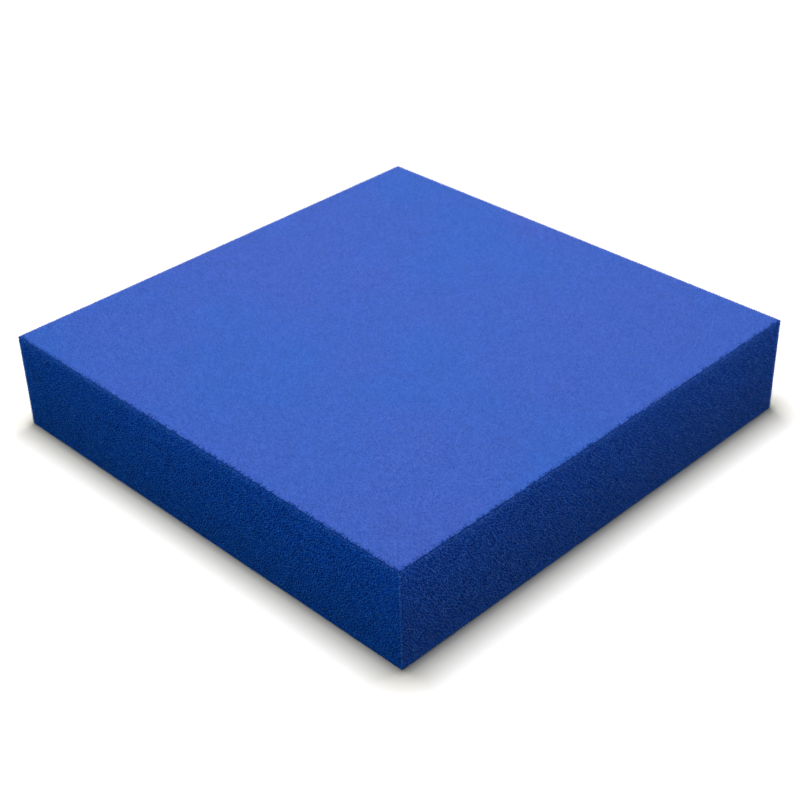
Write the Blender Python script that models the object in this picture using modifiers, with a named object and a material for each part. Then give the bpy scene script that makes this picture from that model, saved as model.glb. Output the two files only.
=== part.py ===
"""Pond filter sponge: one slab of blue open-cell foam, cut square from a larger bun.

The slab is a single piece of material with no skin, glue line, insert or fastener, so it is
one object. The frame's origin is the middle of the underside, with +Z up through the thickness.
All sizes are in metres.
"""

import bpy

# Driving dimensions
LENGTH = 0.500  # along X
WIDTH = 0.500  # along Y
THICKNESS = 0.097  # along Z, the way the water flows

# A knife-cut foam edge wears back by about a quarter of a cell
EDGE_RADIUS = 0.001
EDGE_SEGMENTS = 2

# Finish
FOAM_COLOUR = (0.035, 0.125, 0.560, 1.0)
FOAM_ROUGHNESS = 0.85


def clear_scene():
    for obj in list(bpy.data.objects):
        bpy.data.objects.remove(obj)


def new_collection(name):
    collection = bpy.data.collections.new(name)
    bpy.context.scene.collection.children.link(collection)
    return collection


def foam_material():
    material = bpy.data.materials.new("blue_foam")
    material.use_nodes = True
    shader = material.node_tree.nodes["Principled BSDF"]
    shader.inputs["Base Color"].default_value = FOAM_COLOUR
    shader.inputs["Roughness"].default_value = FOAM_ROUGHNESS
    shader.inputs["Metallic"].default_value = 0.0
    return material


def foam_block(collection, material):
    """The whole slab, standing on its underside, with every edge slightly eased."""
    bpy.ops.mesh.primitive_cube_add(size=1.0, location=(0.0, 0.0, THICKNESS / 2))
    block = bpy.context.object
    block.name = "foam_block"
    block.data.name = "foam_block"
    block.scale = (LENGTH, WIDTH, THICKNESS)
    bpy.ops.object.transform_apply(location=False, rotation=False, scale=True)
    for old_collection in list(block.users_collection):
        old_collection.objects.unlink(block)
    collection.objects.link(block)

    eased = block.modifiers.new("eased_edges", "BEVEL")
    eased.width = EDGE_RADIUS
    eased.segments = EDGE_SEGMENTS
    eased.limit_method = "NONE"

    block.data.materials.append(material)
    return block


def main():
    clear_scene()
    collection = new_collection("filter_sponge")
    foam_block(collection, foam_material())


main()
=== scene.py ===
"""Looks for the pond filter sponge: its open-cell foam, its finish, and a studio to see it in.

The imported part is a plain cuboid. One closed mesh stands for it here. Its four sides are torn
open: each is a web of foam strands, with a cut strand standing on each node of the web, windows
between neighbouring cells under it, and slanting strands that run down to a second web and to the
hollows between its strands. Its two large faces are cut finely, so there each cell is a shallow
cup. Two of the top edges are ragged. Every size is in metres, or in cells where it says so.
"""

import math
from dataclasses import dataclass

import bpy
import numpy as np
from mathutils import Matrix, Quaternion, Vector
from mathutils.geometry import delaunay_2d_cdt


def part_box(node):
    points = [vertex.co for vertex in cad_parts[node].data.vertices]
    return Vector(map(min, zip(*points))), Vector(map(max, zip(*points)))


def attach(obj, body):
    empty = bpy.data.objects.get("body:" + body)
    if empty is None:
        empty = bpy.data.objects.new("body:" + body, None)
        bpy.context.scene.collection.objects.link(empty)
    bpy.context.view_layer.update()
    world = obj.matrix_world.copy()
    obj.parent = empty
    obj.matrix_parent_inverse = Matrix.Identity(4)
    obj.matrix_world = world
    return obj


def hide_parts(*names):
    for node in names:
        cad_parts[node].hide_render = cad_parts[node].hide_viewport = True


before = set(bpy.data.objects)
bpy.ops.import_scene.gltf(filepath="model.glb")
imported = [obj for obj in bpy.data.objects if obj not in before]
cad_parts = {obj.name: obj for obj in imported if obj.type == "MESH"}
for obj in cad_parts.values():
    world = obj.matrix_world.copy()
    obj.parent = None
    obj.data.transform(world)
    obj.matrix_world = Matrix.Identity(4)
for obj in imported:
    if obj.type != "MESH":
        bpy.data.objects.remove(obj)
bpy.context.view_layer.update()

# ---------------------------------------------------------------- foam structure values
SEED = 7
CELL = 0.0028  # mean spacing of the cells on a cut face

# How the cells are spread. Distances are in cells.
JITTER = 0.95  # how far cells start away from an even grid
RELAX_STEPS = 3  # rounds of evening-out that turn random cells into foam-like ones
RELAX_SHARE = 0.45  # how far each round moves a cell towards the mean of its neighbours
EDGE_INSET = 0.62  # nearest a cell's middle may lie to an edge of the block
EDGE_MARGIN = 0.20  # nearest to an edge that a strand may wander
LONGEST_STEP = 0.38  # the furthest that a corner may move, as a share of the way to its target

# The web of strands at the cut, in cells. Each variation is a share of the size it follows.
STRAND = 0.095  # half width of a strand
STRAND_VARIATION = 0.30
STUB = (0.10, 1.10)  # shortest and longest cut strand that stands on a node of a side
STUB_RARITY = 1.2  # how much rarer the long ones are: 1 is not at all
STUB_WIDTH = 1.0  # width of its cut end, as a share of the strand's
STUB_LEAN = 0.16  # sideways wander of its cut end

# Under the web on the four sides, in cells: the open layer that the coarse cut tore free
STRAND_DEPTH = 0.15  # height of a strand's wedge section
NODE_REACH = 0.15  # how far the thick node reaches along each strand that meets there
LAYER = 1.05  # depth of the open layer
LAYER_VARIATION = 0.20
SLANT = 0.22  # sideways wander of a strand on its way down through the layer
FOOT_WIDTH = 1.5  # width of the second web's strands, as a share of the first's
PIT = 0.20  # how much further the hollow of each cell goes down

# On the two large faces, which are cut finely and look smooth, each cell is a plain cup
CUP = 0.85  # depth of the cup, in cells
POINT = (0.04, 0.50)  # lowest and highest point left where three cups meet

# Towards the block's edges, in cells
EDGE_ZONE = 1.3  # width of the strip where the depth changes towards an edge
NOTCH = 0.12  # share of the full depth left on the edges, so that they stay crisp
TORN_NOTCH = 0.90  # and the larger share on the two torn top edges, which are ragged
RAGGED_FROM = 3.0  # how far from the +X and +Y sides they are half as ragged
EDGE_BITE = 0.6  # deepest that a strand is bitten off where it crosses an edge, before that share
TEAR_REACH = 2.4  # how far the tears of the sides reach over the edge into a large face
TEAR_DEPTH = 1.0  # how much deeper the cups are there, at most

# ---------------------------------------------------------------- finish values
WHITE = (1.0, 1.0, 1.0)

# The two large faces
STRAND_COLOUR = (0.013, 0.111, 0.562)
VIOLET_COLOUR = (0.030, 0.102, 0.545)
DARK_FLECK = (0.15, 0.66, 0.86)  # what the fine grain multiplies their colour by
PALE_FLECK = (1.85, 1.34, 1.14)
# painted shade: the tears are darker, as their deeper cups lie in shade
TEAR_PAINTED_SHADE = (0.003, 0.050, 0.310)
STREAK_X = (200.0, 640.0, 300.0)  # how finely the streaks of the tears vary along each axis
STREAK_Y = (640.0, 200.0, 300.0)
STREAK_WEIGHT = 3.0  # how much the streaks count beside the nearness of the torn side
TEAR_RANGE = (1.95, 2.25)  # where the sum of the two turns from smooth to torn
TEAR_END = (0.0, 0.15)  # the nearness over which the last tears fade out

# The four sides
TORN_COLOUR = (0.006, 0.094, 0.560)
# painted shade: the strands of a side are darker the deeper they lie towards the hollows
HOLLOW_PAINTED_SHADE = (0.003, 0.070, 0.470)
# painted highlight: the cut ends that catch the light are paler
TIP_HIGHLIGHT_COLOUR = (0.066, 0.260, 0.860)
TIP_HIGHLIGHT_VIOLET = (0.120, 0.230, 0.780)
TIP_HIGHLIGHT_DEPTH = 0.35  # how far down the painted highlight on the pale cut ends reaches, as a share of the open layer
SIDE_RANGE = (0.98, 1.0)  # the nearness over which a large face turns into a side
LOW_PAINTED_SHADE = (0.95, 0.84, 0.80)  # painted shade: what the colour of a side is multiplied by at its foot, where the floor shades it
HIGH_PAINTED_LIGHT = (1.14, 1.14, 1.16)  # painted light: and at its top, where it is paler
FOOT_PAINTED_SHADE = 0.88  # the further painted shade of its lowest strip, next to the floor
FOOT_HEIGHT = 0.008

# Pale wear and painted highlight on the edges
WEAR_AND_GLINT_COLOUR = (0.130, 0.300, 0.850)
WEAR_AND_GLINT_REACH = 1.3  # how far it reaches from the four upright edges, in cells
TOP_WEAR_AND_GLINT = 0.8  # wear and painted highlight under the top edges of the sides, as a share of the upright edges'
TOP_WEAR_AND_GLINT_REACH = 3.5  # how far down the sides it reaches, in cells
GLINT = 0.85  # the most that it covers

# How finely each noise varies
DRIFT_SCALE = 7.0  # the drift of the large faces from blue to violet
BLOTCH_SCALE = 60.0
TINT_SCALE = 420.0  # which of the cut ends are violet
FLECK_SCALE = 620.0
GLINT_SCALE = 650.0
ROUGHNESS_SCALE = 900.0
GRAIN_SCALE = 2500.0

# The part of each noise's values that is stretched over its whole effect
NOISE_RANGE = (0.30, 0.70)
DRIFT_RANGE = (0.35, 0.65)
TINT_RANGE = (0.40, 0.60)
GLINT_RANGE = (0.48, 0.60)

# The surface itself
BLOTCH = (0.965, 1.035)  # darkest and palest blotch
BLOTCH_DETAIL = 4.0
ROUGHNESS = (0.55, 0.75)
SPECULAR = (0.50, 0.12)  # on the smooth faces, and where the foam is torn or has the pale wear and painted highlight
GRAIN_STRENGTH = 0.25
GRAIN_HEIGHT = 0.0001
BAKE_GUTTER = 0.01  # the gap between two faces on the sheet that the finish is baked on

# ---------------------------------------------------------------- studio values
FLOOR_SIZE = 12.0
FLOOR_DROP = 0.0002  # how far the floor lies under the foam, so that the two don't flicker
FLOOR_GREY = (0.04, 0.04, 0.04)  # the floor's colour in the light that it gives back to the foam
WHITE_AGAINST_BLUE_BOUNCE = (1.0, 0.995, 0.90)  # the floor's white next to the foam, painted warmer to cancel the blue light that the foam throws on it
BOUNCE_TINT_REACH = 0.030  # how far from the foam it turns plain white
PAINTED_CONTACT_SHADOW = 0.70  # painted shadow: how dark the floor gets where it meets the foam
PAINTED_SHADOW_STRIP = 0.008  # width of that strip of painted shadow
SHADOW_REACH = 0.45  # how far from the middle the floor is still only floor
BACKDROP_START = 1.30  # and where it has turned into the white backdrop
WORLD_GREY = (0.05, 0.05, 0.05)  # the light from all round


@dataclass
class Lamp:
    """A soft lamp, with its power in watts. It lights either the foam or the floor."""

    name: str
    size: tuple
    place: tuple
    power: float
    colour: tuple = WHITE


FOAM_LAMPS = (
    Lamp("key_over_foam", (1.1, 1.1), (0.02, 0.03, 1.4), 13.9),
    Lamp("backdrop", (2.6, 1.2), (0.95, 1.0, 0.75), 15.2),
    Lamp("fill_left", (1.8, 1.2), (-1.9, -0.3, 0.7), 15.25, (0.16, 0.92, 1.0)),
    Lamp("fill_right", (1.8, 1.2), (0.3, -1.9, 0.7), 14.8, (1.0, 0.97, 0.94)),
)
FLOOR_LAMPS = (
    Lamp("key_over_floor", (0.86, 0.86), (0.03, 0.09, 1.5), 36.8, (1.0, 0.985, 0.965)),
)
LAMP_AIM = (0.0, 0.0, 0.05)

# The camera looks past the middle of the block by a little, and is turned by its roll
CAMERA_AZIMUTH = -44.25  # degrees
CAMERA_ELEVATION = 33.37  # degrees
CAMERA_ROLL = -1.61  # degrees
CAMERA_DISTANCE = 1.492
AIM_UP = -0.0259
AIM_RIGHT = -0.0004
LENS = 71.23  # mm
SENSOR = 36.0  # mm
FOCUS_DISTANCE = 1.20
F_STOP = 14.0
CLIP = (0.05, 50.0)  # nearest and farthest that the camera sees


# ---------------------------------------------------------------- geometry helpers
def unit(vectors):
    return vectors / np.maximum(np.linalg.norm(vectors, axis=1, keepdims=True), 1e-12)


def smooth_ramp(values):
    t = np.clip(values, 0.0, 1.0)
    return t * t * (3.0 - 2.0 * t)


def towards(start, target, distance):
    """Moves each start towards its target by a distance, but never far along a short way."""
    gap = np.linalg.norm(target - start, axis=1)
    return start + unit(target - start) * np.minimum(distance, LONGEST_STEP * gap)[:, None]


def next_corner(half_edge):
    return half_edge - half_edge % 3 + (half_edge + 1) % 3


def previous_corner(half_edge):
    return half_edge - half_edge % 3 + (half_edge + 2) % 3


class Block:
    """The cuboid: its middle and half sizes, and which way is in from each place on its surface."""

    def __init__(self, low, high):
        self.centre = (np.array(low) + np.array(high)) / 2
        self.half = (np.array(high) - np.array(low)) / 2

    def gaps(self, points):
        """Distance from each point to the nearer face of each axis."""
        return self.half - np.abs(points - self.centre)

    def inward(self, points):
        """Straight in on a face. Near an edge it leans, to halfway between the faces on the edge."""
        zone = EDGE_ZONE * CELL
        lean = smooth_ramp(1.0 - self.gaps(points) / zone)
        return -np.sign(points - self.centre) * lean

    def from_edge(self, points):
        """Distance from each point near the surface to the nearest edge of the block."""
        return np.sort(self.gaps(points), axis=1)[:, 1]

    def on_side(self, points):
        """True for points on the four torn sides, False on the two large faces."""
        return np.argmin(self.gaps(points), axis=1) < 2

    def from_torn_side(self, points):
        """Distance from each point to the nearer of the -X and -Y sides, which tore their edges."""
        return (points - self.centre + self.half)[:, :2].min(axis=1)

    def from_far_faces(self, points):
        """Distance from each point to the +X, +Y and top faces."""
        return self.centre + self.half - points

    def torn(self, points):
        """1 on all four sides. On a large face, the nearness of the sides that tore its edges."""
        near = 1.0 - self.from_torn_side(points) / (TEAR_REACH * CELL)
        return np.where(self.on_side(points), 1.0, np.maximum(near, 0.0))

    def ragged(self, points):
        """1 on the two torn top edges, fading out around them and before their far ends.

        Each fade runs from a half of its width to one and a half.
        """
        from_far = self.from_far_faces(points)
        from_top_edge = np.hypot(from_far[:, 2], self.from_torn_side(points))
        around = smooth_ramp(1.5 - from_top_edge / (EDGE_ZONE * CELL))
        return around * smooth_ramp(from_far[:, :2].min(axis=1) / (RAGGED_FROM * CELL) - 0.5)

    def depth_share(self, points):
        """What share of the full depth is left: less towards the edges, most where it's ragged."""
        zone = EDGE_ZONE * CELL
        notch = NOTCH + (TORN_NOTCH - NOTCH) * self.ragged(points)
        return notch + (1.0 - notch) * smooth_ramp(self.from_edge(points) / zone)

    def wear(self, points):
        """1 on the four upright edges, less under the top edges of the sides, 0 away from them."""
        upright = 1.0 - smooth_ramp(self.gaps(points)[:, :2].max(axis=1) / (WEAR_AND_GLINT_REACH * CELL))
        below_top = self.from_far_faces(points)[:, 2]
        under_top = TOP_WEAR_AND_GLINT * (1.0 - smooth_ramp(below_top / (TOP_WEAR_AND_GLINT_REACH * CELL)))
        return np.maximum(upright, np.where(self.on_side(points), under_top, 0.0))

    def sunk(self, points, depth):
        """Takes points on the surface down to a depth given in cells."""
        return points + self.inward(points) * (CELL * depth * self.depth_share(points))[:, None]

    def wander(self, points, face, spread, rng):
        """Random steps along each point's own face, kept short of the block's edges."""
        steps = rng.normal(size=points.shape) * spread * CELL
        for axis in range(3):
            steps[face // 2 == axis, axis] = 0.0
        room = np.maximum(self.from_edge(points) - EDGE_MARGIN * CELL, 0.0)
        length = np.maximum(np.linalg.norm(steps, axis=1), 1e-9)
        return steps * np.minimum(1.0, room / length)[:, None]


# ---------------------------------------------------------------- cells on the block's surface
def edge_cells(block, rng, seeds):
    """Puts a cell on every corner and along every edge of the block.

    Returns the numbers of the seeds along each edge, by its axis and the sides it lies on.
    """
    corner = {}
    for sides in np.ndindex(2, 2, 2):
        corner[sides] = len(seeds)
        seeds.append(block.centre + block.half * (2 * np.array(sides) - 1))
    edges = {}
    for axis, first, second in np.ndindex(3, 2, 2):
        sides = [0, 0, 0]
        sides[(axis + 1) % 3], sides[(axis + 2) % 3] = first, second
        start, length = seeds[corner[tuple(sides)]], 2 * block.half[axis]
        numbers = [corner[tuple(sides)]]
        count = round(length / CELL)
        for step in range(1, count):
            point = start.copy()
            point[axis] += (step + 0.5 * JITTER * (rng.random() - 0.5)) / count * length
            numbers.append(len(seeds))
            seeds.append(point)
        sides[axis] = 1
        edges[axis, first, second] = numbers + [corner[tuple(sides)]]
    return edges


def face_border(axis, side, edges):
    """The seed numbers on the four edges round one face."""
    u, v = (axis + 1) % 3, (axis + 2) % 3
    border = set()
    for end in (0, 1):
        border.update(edges[u, end, side])
        border.update(edges[v, side, end])
    return sorted(border)


def triangulate(points):
    """Delaunay triangles of points on a plane, all counter-clockwise."""
    triangles = np.array(delaunay_2d_cdt([Vector(p) for p in points], [], [], 0, 1e-9, False)[2])
    a, b, c = (points[triangles[:, k]] for k in range(3))
    turn = (b[:, 0] - a[:, 0]) * (c[:, 1] - a[:, 1]) - (b[:, 1] - a[:, 1]) * (c[:, 0] - a[:, 0])
    triangles[turn < 0] = triangles[turn < 0][:, ::-1]
    return triangles


def neighbour_mean(points, triangles):
    total, count = np.zeros_like(points), np.zeros(len(points))
    for here in range(3):
        for there in ((here + 1) % 3, (here + 2) % 3):
            np.add.at(total, triangles[:, here], points[triangles[:, there]])
            np.add.at(count, triangles[:, here], 1)
    return total / count[:, None]


def scattered(low, size, rng):
    """Cells spread over a rectangle, on a grid that is then shaken."""
    across = np.maximum(np.round(size / CELL).astype(int), 1)
    grid = np.stack(np.meshgrid(*(np.arange(n) for n in across), indexing="ij"), -1).reshape(-1, 2)
    shake = JITTER * (rng.random(grid.shape) - 0.5)
    return low + (grid + 0.5 + shake) / across * size


def face_cells(block, axis, side, border, rng, seeds):
    """Fills one face with cells. Returns its triangles of neighbouring cells, as seed numbers."""
    plane = [(axis + 1) % 3, (axis + 2) % 3]
    low = block.centre[plane] - block.half[plane] + EDGE_INSET * CELL
    high = block.centre[plane] + block.half[plane] - EDGE_INSET * CELL
    fixed = np.array([seeds[i] for i in border])[:, plane]
    points = np.vstack([fixed, scattered(low, high - low, rng)])
    for _ in range(RELAX_STEPS):
        moved = points + RELAX_SHARE * (neighbour_mean(points, triangulate(points)) - points)
        points[len(fixed):] = np.clip(moved, low, high)[len(fixed):]
    triangles = triangulate(points)
    if side == 0:
        triangles = triangles[:, ::-1]

    first = len(seeds)
    for point in points[len(fixed):]:
        place = block.centre + block.half * (2 * side - 1)
        place[plane] = point
        seeds.append(place)
    numbers = np.concatenate([border, np.arange(first, len(seeds))])
    return numbers[triangles]


def surface_cells(block, rng):
    """Seeds, triangles of neighbouring seeds all over the block, and the face of each triangle."""
    seeds = []
    edges = edge_cells(block, rng, seeds)
    triangles, faces = [], []
    for axis, side in np.ndindex(3, 2):
        found = face_cells(block, axis, side, face_border(axis, side, edges), rng, seeds)
        triangles.append(found)
        faces.append(np.full(len(found), 2 * axis + side))
    return np.array(seeds), np.concatenate(triangles), np.concatenate(faces)


def pair_half_edges(triangles):
    """The two half edges 3 * triangle + corner of each side, which run opposite ways."""
    start, end = triangles.ravel(), np.roll(triangles, -1, axis=1).ravel()
    order = np.lexsort((np.maximum(start, end), np.minimum(start, end)))
    first, second = order[0::2], order[1::2]
    if not ((start[first] == end[second]) & (end[first] == start[second])).all():
        raise ValueError("the cells don't tile the block's surface")
    return first, second


# ---------------------------------------------------------------- the foam's mesh
class Skin:
    """Vertices with their depth, and polygons with the face of the block that each belongs to."""

    def __init__(self, block):
        self.block = block
        self.count = 0
        self.points = []
        self.depths = []
        self.torn = []
        self.polygons = {3: [], 4: []}
        self.faces = {3: [], 4: []}

    def add(self, surface_points, depth):
        """Adds vertices under surface points, at depths in cells. Returns their numbers."""
        depth = np.broadcast_to(np.asarray(depth, float), len(surface_points))
        self.points.append(self.block.sunk(surface_points, depth))
        self.depths.append(depth / (LAYER + PIT))
        self.torn.append(self.block.torn(surface_points))
        self.count += len(depth)
        return np.arange(self.count - len(depth), self.count)

    def add_where(self, mask, surface_points, depth):
        """As add, but only where the mask is true. Elsewhere the number is -1 and is never used."""
        numbers = np.full(len(mask), -1)
        numbers[mask] = self.add(surface_points[mask], np.broadcast_to(depth, len(mask))[mask])
        return numbers

    def emit(self, face, *corners):
        """Adds polygons, each a row across the given arrays of vertex numbers."""
        self.polygons[len(corners)].append(np.stack(corners, axis=1))
        self.faces[len(corners)].append(face)


@dataclass
class Station:
    """Where a strand is cut across: vertex numbers round it and below it, for each of its cells."""

    rim_a: np.ndarray
    rim_b: np.ndarray
    keel: np.ndarray
    crest: np.ndarray
    foot_a: np.ndarray
    foot_b: np.ndarray

    def where(self, mask):
        return Station(*(values[mask] for values in vars(self).values()))


class Foam:
    """The cells and nodes of the web, and the vertices round each corner of each node."""

    def __init__(self, block, rng):
        self.skin, self.rng = Skin(block), rng
        self.seeds, self.triangles, face_of = surface_cells(block, rng)
        self.first, self.second = pair_half_edges(self.triangles)
        self.face = np.repeat(face_of, 3)
        self.torn = self.face < 4
        self.cell = self.seeds[self.triangles.ravel()]
        self.middle = (self.cell + self.seeds[np.roll(self.triangles, -1, axis=1).ravel()]) / 2
        self.add_vertices(block, face_of, rng)

    def ahead(self, node):
        """For each half edge, where its strand heads: the next node, or the block's edge."""
        target = self.middle.copy()
        straight = self.face[self.first] == self.face[self.second]
        one, two = self.first[straight], self.second[straight]
        target[one], target[two] = node[two // 3], node[one // 3]
        return target

    def add_vertices(self, block, face_of, rng):
        """The vertices at each corner of each node, from the cut ends down to the cells' hollows."""
        count, skin, torn, cell = len(self.triangles), self.skin, self.torn, self.cell

        def varied(size, variation):
            return np.repeat(size * (1 + variation * (2 * rng.random(count) - 1)), 3)

        half_width = varied(STRAND, STRAND_VARIATION) * CELL
        wedge = varied(STRAND_DEPTH, STRAND_VARIATION)
        layer = varied(LAYER, LAYER_VARIATION)
        chance = rng.random(count)
        stub = STUB[0] + (STUB[1] - STUB[0]) * chance ** STUB_RARITY
        point = POINT[0] + (POINT[1] - POINT[0]) * chance
        sunk = np.repeat(np.where(torn[::3], stub, point), 3)
        reach = np.full(3 * count, NODE_REACH * CELL)

        node = self.seeds[self.triangles].mean(axis=1)
        low_node = node + block.wander(node, face_of, SLANT, rng)
        cut_node = node + block.wander(node, face_of, STUB_LEAN, rng)
        at_node, at_low_node = np.repeat(node, 3, axis=0), np.repeat(low_node, 3, axis=0)
        cut_corner = np.repeat(cut_node, 3, axis=0)
        cut_corner += unit(cell - at_node) * (half_width * STUB_WIDTH)[:, None]

        self.tip = skin.add_where(~torn[::3], node, 0.0)
        self.cut = skin.add_where(torn, cut_corner, 0.0)
        self.rim = skin.add(towards(at_node, cell, half_width), sunk)
        self.keel = skin.add_where(torn, towards(at_node, self.ahead(node), reach), sunk + wedge)
        low_ahead = towards(at_low_node, self.ahead(low_node), reach)
        self.crest = skin.add_where(torn, low_ahead, layer - wedge)
        foot = towards(at_low_node, cell, half_width * FOOT_WIDTH)
        self.foot = skin.add_where(torn, foot, layer)
        tears = block.torn(self.seeds) * rng.random(len(self.seeds))
        bottom = np.where(block.on_side(self.seeds), LAYER + PIT, CUP + TEAR_DEPTH * tears)
        self.pit = skin.add(self.seeds, bottom)[self.triangles.ravel()]

    def at_node(self, half_edge, forwards):
        """The station where the strand of a half edge leaves its node."""
        a, b = half_edge, next_corner(half_edge)
        if not forwards:
            a, b = b, a
        keel, crest = self.keel[half_edge], self.crest[half_edge]
        return Station(self.rim[a], self.rim[b], keel, crest, self.foot[a], self.foot[b])

    def at_block_edge(self, half_edge):
        """The station where a strand bends round an edge of the block, between its two cells."""
        middle, skin = self.middle[half_edge], self.skin
        cells = self.cell[half_edge], self.cell[next_corner(half_edge)]
        width = np.full(len(middle), STRAND * CELL)
        bite = EDGE_BITE * self.rng.random(len(middle))
        rims = [skin.add(towards(middle, cell, width), bite) for cell in cells]
        feet = [skin.add(towards(middle, cell, width * FOOT_WIDTH), LAYER) for cell in cells]
        keel, crest = skin.add(middle, bite + STRAND_DEPTH), skin.add(middle, LAYER - STRAND_DEPTH)
        return Station(*rims, keel, crest, *feet)

    def nodes(self):
        """At each torn node: its cut strand, itself, the strand down from it, and the lower node."""
        skin, corner = self.skin, np.flatnonzero(self.torn)
        after, before, face = next_corner(corner), previous_corner(corner), self.face[corner]
        cut, rim, keel, crest, foot = self.cut, self.rim, self.keel, self.crest, self.foot
        skin.emit(face[::3], cut[corner[::3]], cut[corner[1::3]], cut[corner[2::3]])
        skin.emit(face, cut[corner], rim[corner], rim[after], cut[after])
        skin.emit(face, rim[corner], keel[before], keel[corner])
        skin.emit(face, keel[corner], keel[before], crest[before], crest[corner])
        skin.emit(face, crest[corner], crest[before], foot[corner])

    def points_of_cups(self):
        """On the large faces each node is a low three-sided point."""
        corner = np.flatnonzero(~self.torn)
        tip, rim = self.tip[corner // 3], self.rim
        self.skin.emit(self.face[corner], tip, rim[corner], rim[next_corner(corner)])

    def strands(self):
        straight = self.face[self.first] == self.face[self.second]
        one, two = self.first[straight], self.second[straight]
        self.strand(self.at_node(one, True), self.at_node(two, False), one, self.face[one])
        one, two = self.first[~straight], self.second[~straight]
        bend = self.at_block_edge(one)
        self.strand(self.at_node(one, True), bend, one, self.face[one])
        self.strand(bend, self.at_node(two, False), one, self.face[two])
        self.close_cells(bend, one, two)

    def strand(self, one, two, half_edge, face):
        """A strand between two stations, and what lies under it on a face of that kind."""
        skin, torn = self.skin, face < 4
        pit_a, pit_b = self.pit[half_edge], self.pit[next_corner(half_edge)]
        skin.emit(face, two.rim_a, two.rim_b, one.rim_b, one.rim_a)

        cups = ~torn
        a, b = one.where(cups), two.where(cups)
        skin.emit(face[cups], b.rim_a, a.rim_a, pit_a[cups])
        skin.emit(face[cups], a.rim_b, b.rim_b, pit_b[cups])

        a, b, face = one.where(torn), two.where(torn), face[torn]
        skin.emit(face, a.rim_a, a.keel, b.keel, b.rim_a)
        skin.emit(face, b.rim_b, b.keel, a.keel, a.rim_b)
        skin.emit(face, a.crest, a.foot_a, b.foot_a, b.crest)
        skin.emit(face, b.crest, b.foot_b, a.foot_b, a.crest)
        skin.emit(face, b.foot_a, a.foot_a, pit_a[torn])
        skin.emit(face, a.foot_b, b.foot_b, pit_b[torn])

    def close_cells(self, bend, one, two):
        """Where a torn side meets a large face, walls part the open layer from the cups."""
        for near, far, order in ((one, two, 1), (two, one, -1)):
            mask = self.torn[near] & ~self.torn[far]
            s, face = bend.where(mask), self.face[near[mask]]
            pit_a, pit_b = self.pit[one[mask]], self.pit[next_corner(one[mask])]
            for loop in (
                (s.rim_a, s.keel, s.crest, s.foot_a),
                (s.rim_a, s.foot_a, pit_a),
                (s.keel, s.rim_b, s.foot_b, s.crest),
                (s.rim_b, pit_b, s.foot_b),
            ):
                self.skin.emit(face, *loop[::order])


def foam_skin(block, rng):
    foam = Foam(block, rng)
    foam.nodes()
    foam.points_of_cups()
    foam.strands()
    return foam.skin


def bake_map(mesh, block, loops, face):
    """Lays the six faces out flat, two to a row, as the sheet that the finish is baked on."""
    points = np.empty(3 * len(mesh.vertices), np.float32)
    mesh.vertices.foreach_get("co", points)
    offset = points.reshape(-1, 3)[loops] - (block.centre - block.half)
    size = 2 * block.half
    sheet = 2 * size.max() + 3 * BAKE_GUTTER
    uv = np.empty((len(loops), 2))
    row = BAKE_GUTTER
    for axis in range(3):
        across, up = sorted({0, 1, 2} - {axis}, key=lambda other: -size[other])
        for side in (0, 1):
            mine = face == 2 * axis + side
            uv[mine, 0] = offset[mine, across] + BAKE_GUTTER + side * (size[across] + BAKE_GUTTER)
            uv[mine, 1] = offset[mine, up] + row
        row += size[up] + BAKE_GUTTER
    layer = mesh.uv_layers.new(name="OFBake")
    layer.uv.foreach_set("vector", (uv / sheet).astype(np.float32).ravel())


def add_attribute(mesh, name, values):
    attribute = mesh.attributes.new(name, "FLOAT", "POINT")
    attribute.data.foreach_set("value", values.astype(np.float32))


def build_mesh(name, skin):
    mesh = bpy.data.meshes.new(name)
    points = np.vstack(skin.points)
    loops = np.concatenate([np.vstack(skin.polygons[n]).ravel() for n in (3, 4)])
    sizes = np.concatenate([np.full(sum(map(len, skin.polygons[n])), n) for n in (3, 4)])
    mesh.vertices.add(len(points))
    mesh.vertices.foreach_set("co", points.astype(np.float32).ravel())
    mesh.loops.add(len(loops))
    mesh.loops.foreach_set("vertex_index", loops.astype(np.int32))
    mesh.polygons.add(len(sizes))
    starts = np.concatenate([[0], np.cumsum(sizes)[:-1]])
    mesh.polygons.foreach_set("loop_start", starts.astype(np.int32))
    mesh.polygons.foreach_set("use_smooth", np.ones(len(sizes), bool))
    mesh.update(calc_edges=True)

    face = np.concatenate([np.concatenate(skin.faces[n]) for n in (3, 4)])
    bake_map(mesh, skin.block, loops, np.repeat(face, sizes))
    add_attribute(mesh, "pore_depth", np.concatenate(skin.depths))
    add_attribute(mesh, "torn", np.concatenate(skin.torn))
    add_attribute(mesh, "edge_wear", skin.block.wear(points))
    return mesh


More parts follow.
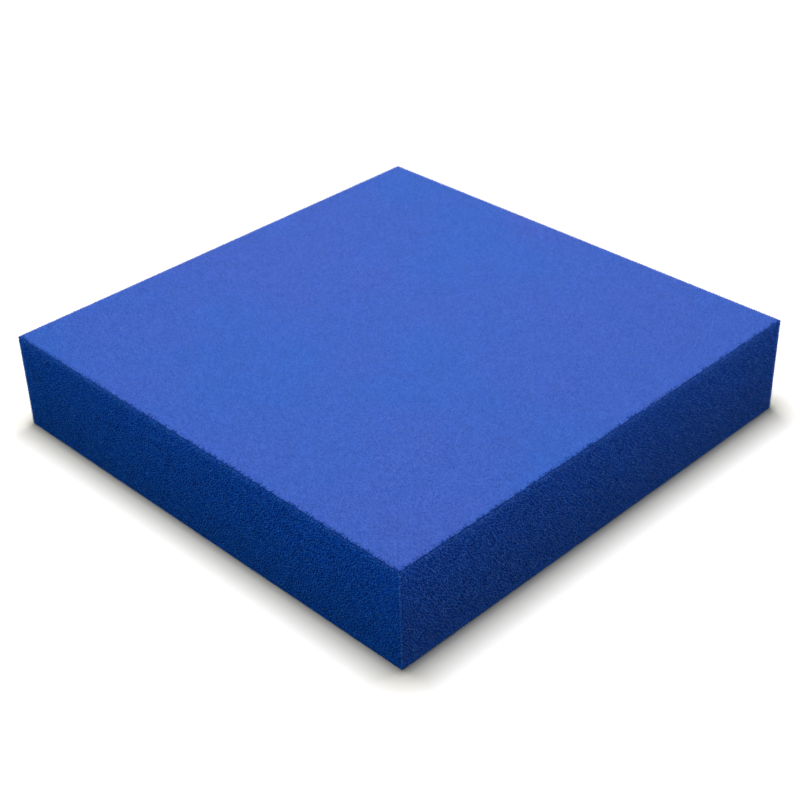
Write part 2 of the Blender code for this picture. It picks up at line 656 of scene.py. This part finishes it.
# ---------------------------------------------------------------- materials
class Nodes:
    """Short ways to add and join shader nodes."""

    def __init__(self, tree):
        self.tree = tree

    def put(self, socket, value):
        """Joins a socket to another, or sets its value. Colours come without their alpha."""
        if isinstance(value, bpy.types.NodeSocket):
            self.tree.links.new(value, socket)
        elif socket.type == "RGBA":
            socket.default_value = (*value, 1.0)
        else:
            socket.default_value = value

    def add(self, kind, **inputs):
        node = self.tree.nodes.new("ShaderNode" + kind)
        for name, value in inputs.items():
            self.put(node.inputs[name], value)
        return node

    def attribute(self, name):
        node = self.add("Attribute")
        node.attribute_name = name
        return node.outputs["Fac"]

    def operate(self, kind, operation, values):
        node = self.add(kind)
        node.operation = operation
        for socket, value in zip(node.inputs, values):
            self.put(socket, value)
        return node

    def maths(self, operation, *values):
        return self.operate("Math", operation, values).outputs["Value"]

    def vector_maths(self, operation, *values):
        return self.operate("VectorMath", operation, values).outputs["Vector"]

    def length(self, vector):
        return self.operate("VectorMath", "LENGTH", [vector]).outputs["Value"]

    def either(self, choice, yes, no):
        """One number or the other."""
        difference = self.maths("SUBTRACT", yes, no)
        return self.maths("MULTIPLY_ADD", choice, difference, no)

    def noise(self, place, scale, detail=2.0):
        return self.add("TexNoise", Vector=place, Scale=scale, Detail=detail).outputs["Fac"]

    def ranged(self, value, low, high, start=0.0, end=1.0):
        """Stretches low to high over start to end, and keeps to those."""
        node = self.add("MapRange", Value=value)
        for name, number in (("From Min", low), ("From Max", high), ("To Min", start), ("To Max", end)):
            self.put(node.inputs[name], number)
        return node.outputs["Result"]

    def mix(self, factor, a, b, blend="MIX"):
        """Mixes two colours."""
        node = self.add("Mix")
        node.data_type = "RGBA"
        node.blend_type = blend
        for name, value in (("Factor", factor), ("A", a), ("B", b)):
            self.put(next(s for s in node.inputs if s.name == name and s.enabled), value)
        return next(s for s in node.outputs if s.enabled)

    def multiplied(self, a, b):
        return self.mix(1.0, a, b, "MULTIPLY")

    def shaded(self, colour, share):
        """A colour multiplied by one number."""
        grey = self.add("CombineColor", Red=share, Green=share, Blue=share)
        return self.multiplied(colour, grey.outputs["Color"])


def new_material(name):
    material = bpy.data.materials.new(name)
    material.use_nodes = True
    return material, Nodes(material.node_tree), material.node_tree.nodes["Principled BSDF"].inputs


def streaks(nodes, place):
    """Noise in short streaks that run straight in from the nearest upright side."""
    along_x, along_y = (
        nodes.noise(nodes.vector_maths("MULTIPLY", place, scale), 1.0, 1.0)
        for scale in (STREAK_X, STREAK_Y)
    )
    apart = nodes.add("SeparateXYZ", Vector=place)
    x, y = (nodes.maths("ABSOLUTE", apart.outputs[axis]) for axis in "XY")
    return nodes.either(nodes.maths("GREATER_THAN", x, y), along_x, along_y)


def tears(nodes, place, torn):
    """1 in the tears that the sides have torn over the edges of a large face, which are painted darker
    as shade.
    """
    weighted = nodes.maths("MULTIPLY", streaks(nodes, place), STREAK_WEIGHT)
    tear = nodes.ranged(nodes.maths("ADD", torn, weighted), *TEAR_RANGE)
    return nodes.maths("MULTIPLY", tear, nodes.ranged(torn, *TEAR_END))


def large_face_colour(nodes, place, tear):
    """Blue that drifts to violet, with a fine grain and painted shade in the tears."""
    drift = nodes.ranged(nodes.noise(place, DRIFT_SCALE), *DRIFT_RANGE)
    colour = nodes.mix(drift, STRAND_COLOUR, VIOLET_COLOUR)
    fleck = nodes.ranged(nodes.noise(place, FLECK_SCALE), *NOISE_RANGE)
    colour = nodes.multiplied(colour, nodes.mix(fleck, DARK_FLECK, PALE_FLECK))
    return nodes.mix(tear, colour, TEAR_PAINTED_SHADE)


def side_colour(nodes, place, worn_and_glinting, height):
    """Dark strands with painted shade in the darker hollows, a painted highlight on the pale cut ends,
    and paler wear with painted highlight on the edges.
    """
    depth = nodes.attribute("pore_depth")
    # painted shade, darker with depth in the open layer
    colour = nodes.mix(nodes.ranged(depth, 0.0, 1.0), TORN_COLOUR, HOLLOW_PAINTED_SHADE)
    tint = nodes.ranged(nodes.noise(place, TINT_SCALE), *TINT_RANGE)
    # painted highlight on the cut ends
    tip_highlight = nodes.ranged(depth, 0.0, TIP_HIGHLIGHT_DEPTH, 1.0, 0.0)
    colour = nodes.mix(tip_highlight, colour, nodes.mix(tint, TIP_HIGHLIGHT_COLOUR, TIP_HIGHLIGHT_VIOLET))
    glint = nodes.ranged(nodes.noise(place, GLINT_SCALE), *GLINT_RANGE, 0.0, GLINT)
    # pale wear and painted highlight on the edges
    colour = nodes.mix(nodes.maths("MULTIPLY", worn_and_glinting, glint), colour, WEAR_AND_GLINT_COLOUR)
    # painted shade towards the floor and painted light towards the top of each side
    return nodes.multiplied(colour, painted_side_shading(nodes, place, height))


def painted_side_shading(nodes, place, height):
    """Painted shade and light: the sides are a little darker towards the floor, and paler towards the
    top.
    """
    above_floor = nodes.add("SeparateXYZ", Vector=place).outputs["Z"]
    climb = nodes.ranged(above_floor, 0.0, height)
    foot = nodes.ranged(above_floor, 0.0, FOOT_HEIGHT, FOOT_PAINTED_SHADE, 1.0)
    return nodes.shaded(nodes.mix(climb, LOW_PAINTED_SHADE, HIGH_PAINTED_LIGHT), foot)


def foam_material(height):
    material, nodes, shader = new_material("blue_foam")
    place = nodes.add("TexCoord").outputs["Object"]
    torn, worn_and_glinting = nodes.attribute("torn"), nodes.attribute("edge_wear")
    side = nodes.ranged(torn, *SIDE_RANGE)
    tear = tears(nodes, place, torn)

    smooth, rough = large_face_colour(nodes, place, tear), side_colour(nodes, place, worn_and_glinting, height)
    blotch = nodes.ranged(nodes.noise(place, BLOTCH_SCALE, BLOTCH_DETAIL), *NOISE_RANGE, *BLOTCH)
    nodes.put(shader["Base Color"], nodes.shaded(nodes.mix(side, smooth, rough), blotch))
    dull = nodes.maths("MAXIMUM", side, nodes.maths("MAXIMUM", tear, worn_and_glinting))
    nodes.put(shader["Specular IOR Level"], nodes.ranged(dull, 0.0, 1.0, *SPECULAR))
    roughness = nodes.ranged(nodes.noise(place, ROUGHNESS_SCALE), *NOISE_RANGE, *ROUGHNESS)
    nodes.put(shader["Roughness"], roughness)
    grain = nodes.noise(place, GRAIN_SCALE)
    bump = nodes.add("Bump", Height=grain, Strength=GRAIN_STRENGTH, Distance=GRAIN_HEIGHT)
    nodes.put(shader["Normal"], bump.outputs["Normal"])
    return material


def floor_white_with_painted_shadow(nodes, place, half):
    """The floor's white, with a painted shadow where it meets a foam block of these half sizes, and
    painted warmer there against the foam's blue light.
    """
    outside = nodes.vector_maths("SUBTRACT", nodes.vector_maths("ABSOLUTE", place), half)
    gap = nodes.length(nodes.vector_maths("MAXIMUM", outside, (0.0, 0.0, 0.0)))
    white = nodes.mix(nodes.ranged(gap, 0.0, BOUNCE_TINT_REACH, 1.0, 0.0), WHITE, WHITE_AGAINST_BLUE_BOUNCE)
    # painted contact shadow on the floor
    return nodes.shaded(white, nodes.ranged(gap, 0.0, PAINTED_SHADOW_STRIP, PAINTED_CONTACT_SHADOW, 1.0))


def floor_material(half):
    """White where the camera sees it, but grey to the light that it gives back to the foam."""
    material, nodes, shader = new_material("studio_floor")
    seen = nodes.add("LightPath").outputs["Is Camera Ray"]
    place = nodes.add("TexCoord").outputs["Object"]
    nodes.put(shader["Base Color"], nodes.mix(seen, FLOOR_GREY, floor_white_with_painted_shadow(nodes, place, half)))
    paler = nodes.ranged(nodes.length(place), SHADOW_REACH, BACKDROP_START)
    nodes.put(shader["Emission Color"], WHITE)
    nodes.put(shader["Emission Strength"], nodes.maths("MULTIPLY", paler, seen))
    nodes.put(shader["Roughness"], 1.0)
    nodes.put(shader["Specular IOR Level"], 0.0)
    return material


# ---------------------------------------------------------------- floor, lamps and camera
def link(obj):
    bpy.context.scene.collection.objects.link(obj)
    return obj


def studio_floor(low, high):
    bpy.ops.mesh.primitive_plane_add(size=FLOOR_SIZE, location=(0, 0, low.z - FLOOR_DROP))
    floor = bpy.context.object
    floor.name = "studio_floor"
    floor.data.materials.append(floor_material(((high.x - low.x) / 2, (high.y - low.y) / 2, 0.0)))
    return floor


def softbox(lamp, receivers):
    light = bpy.data.lights.new(lamp.name, "AREA")
    light.shape = "RECTANGLE"
    light.size, light.size_y = lamp.size
    light.energy = lamp.power
    light.color = lamp.colour
    box = link(bpy.data.objects.new(lamp.name, light))
    box.location = lamp.place
    box.rotation_euler = (Vector(lamp.place) - Vector(LAMP_AIM)).to_track_quat("Z", "Y").to_euler()
    box.light_linking.receiver_collection = receivers


def light_only(obj, lamps):
    receivers = bpy.data.collections.new("lit_" + obj.name)
    receivers.objects.link(obj)
    for lamp in lamps:
        softbox(lamp, receivers)


def pale_world():
    """A faint light from all round, which the camera sees as white."""
    world = bpy.data.worlds.new("studio")
    world.use_nodes = True
    nodes = Nodes(world.node_tree)
    seen = nodes.add("LightPath").outputs["Is Camera Ray"]
    background = world.node_tree.nodes["Background"]
    nodes.put(background.inputs["Color"], nodes.mix(seen, WORLD_GREY, WHITE))
    bpy.context.scene.world = world


def studio(foam, low, high):
    floor = studio_floor(low, high)
    light_only(foam, FOAM_LAMPS)
    light_only(floor, FLOOR_LAMPS)
    pale_world()
    bpy.context.scene.view_settings.view_transform = "Standard"
    # The usual prefilter would wipe out the foam's fine grain
    bpy.context.scene.cycles.denoising_prefilter = "NONE"


def camera(low, high):
    azimuth, elevation, roll = map(math.radians, (CAMERA_AZIMUTH, CAMERA_ELEVATION, CAMERA_ROLL))
    back = Vector((math.sin(azimuth) * math.cos(elevation),
                   -math.cos(azimuth) * math.cos(elevation),
                   math.sin(elevation)))
    turn = (-back).to_track_quat("-Z", "Y")
    up, right = turn @ Vector((0, 1, 0)), turn @ Vector((1, 0, 0))
    aim = (low + high) / 2 + up * AIM_UP + right * AIM_RIGHT

    data = bpy.data.cameras.new("camera")
    data.lens, data.sensor_width = LENS, SENSOR
    data.clip_start, data.clip_end = CLIP
    data.dof.use_dof = True
    data.dof.focus_distance = FOCUS_DISTANCE
    data.dof.aperture_fstop = F_STOP
    cam = link(bpy.data.objects.new("camera", data))
    cam.location = aim + back * CAMERA_DISTANCE
    cam.rotation_mode = "QUATERNION"
    cam.rotation_quaternion = Quaternion(back, roll) @ turn
    bpy.context.scene.camera = cam


def main():
    low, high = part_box("foam_block")
    skin = foam_skin(Block(low, high), np.random.default_rng(SEED))
    mesh = build_mesh("open_cell_foam", skin)
    mesh.materials.append(foam_material(high.z - low.z))
    foam = link(bpy.data.objects.new("open_cell_foam", mesh))
    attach(foam, "root")
    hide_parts("foam_block")
    studio(foam, low, high)
    camera(low, high)


main()
